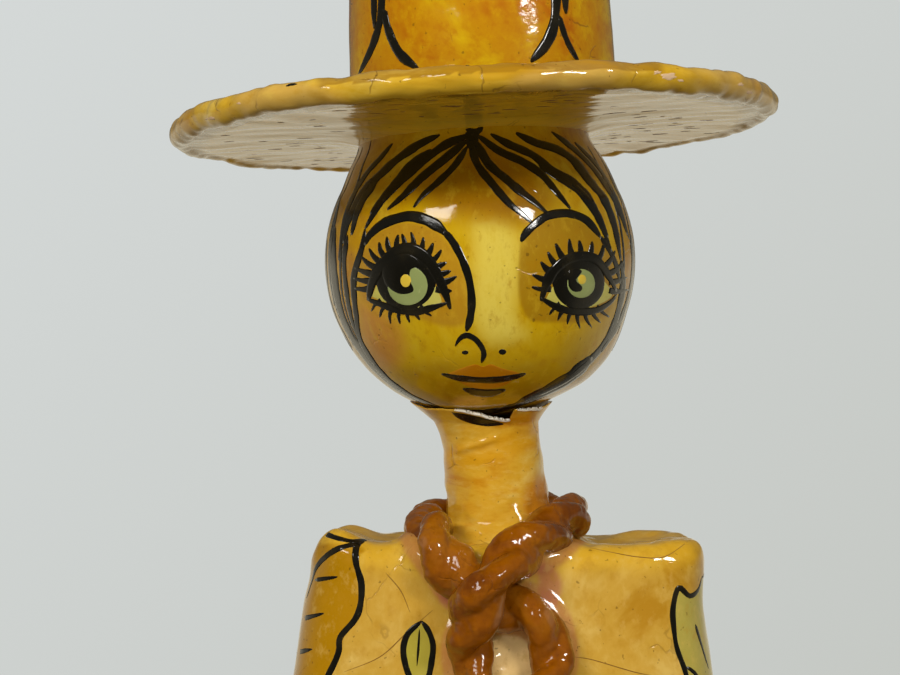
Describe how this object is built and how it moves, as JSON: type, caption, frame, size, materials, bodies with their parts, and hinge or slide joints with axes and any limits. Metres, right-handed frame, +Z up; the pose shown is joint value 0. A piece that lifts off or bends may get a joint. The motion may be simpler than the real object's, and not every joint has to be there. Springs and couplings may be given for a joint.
{
  "type": "papier-mache lady figure",
  "caption": "Free-standing hollow papier-mache lady with a flared dress, ball head, wide-brimmed tall hat and a twisted cord at the neck, painted and varnished.",
  "frame": {"origin": "centre of the hem, on the surface that the figure stands on", "axes": "+Z up, -Y the way the face looks, +X to the right as seen from the front"},
  "size_m": [0.2063, 0.193, 0.5007],
  "materials": {
    "dress_paper": "painted and varnished",
    "skin_paper": "painted and varnished",
    "neck_paper": "painted and varnished",
    "hat_paper": "painted and varnished",
    "brim_paper": "painted and varnished",
    "cord_paper": "painted and varnished",
    "raw_card": "matte",
    "bare_wood": "unfinished",
    "string": "matte",
    "plaster": "matte",
    "wire": "dull"
  },
  "bodies": {
    "root": {"base_board": "raw_card", "ballast_plug": "plaster", "centre_stick": "bare_wood", "shoulder_bar": "bare_wood", "bar_lashing": "string", "dress_front": "dress_paper", "dress_back": "dress_paper", "dress_seam_strips": "raw_card", "shoulder_plate": "dress_paper", "neck_tube": "neck_paper", "head_front": "skin_paper", "head_back": "skin_paper", "head_seam_strip": "raw_card", "hat_collar": "brim_paper", "brim_disc": "brim_paper", "brim_roll": "brim_paper", "brim_wire": "wire", "crown_tube": "hat_paper", "crown_lid": "hat_paper", "cord_strand_a": "cord_paper", "cord_strand_b": "cord_paper"}
  },
  "joints": []
}
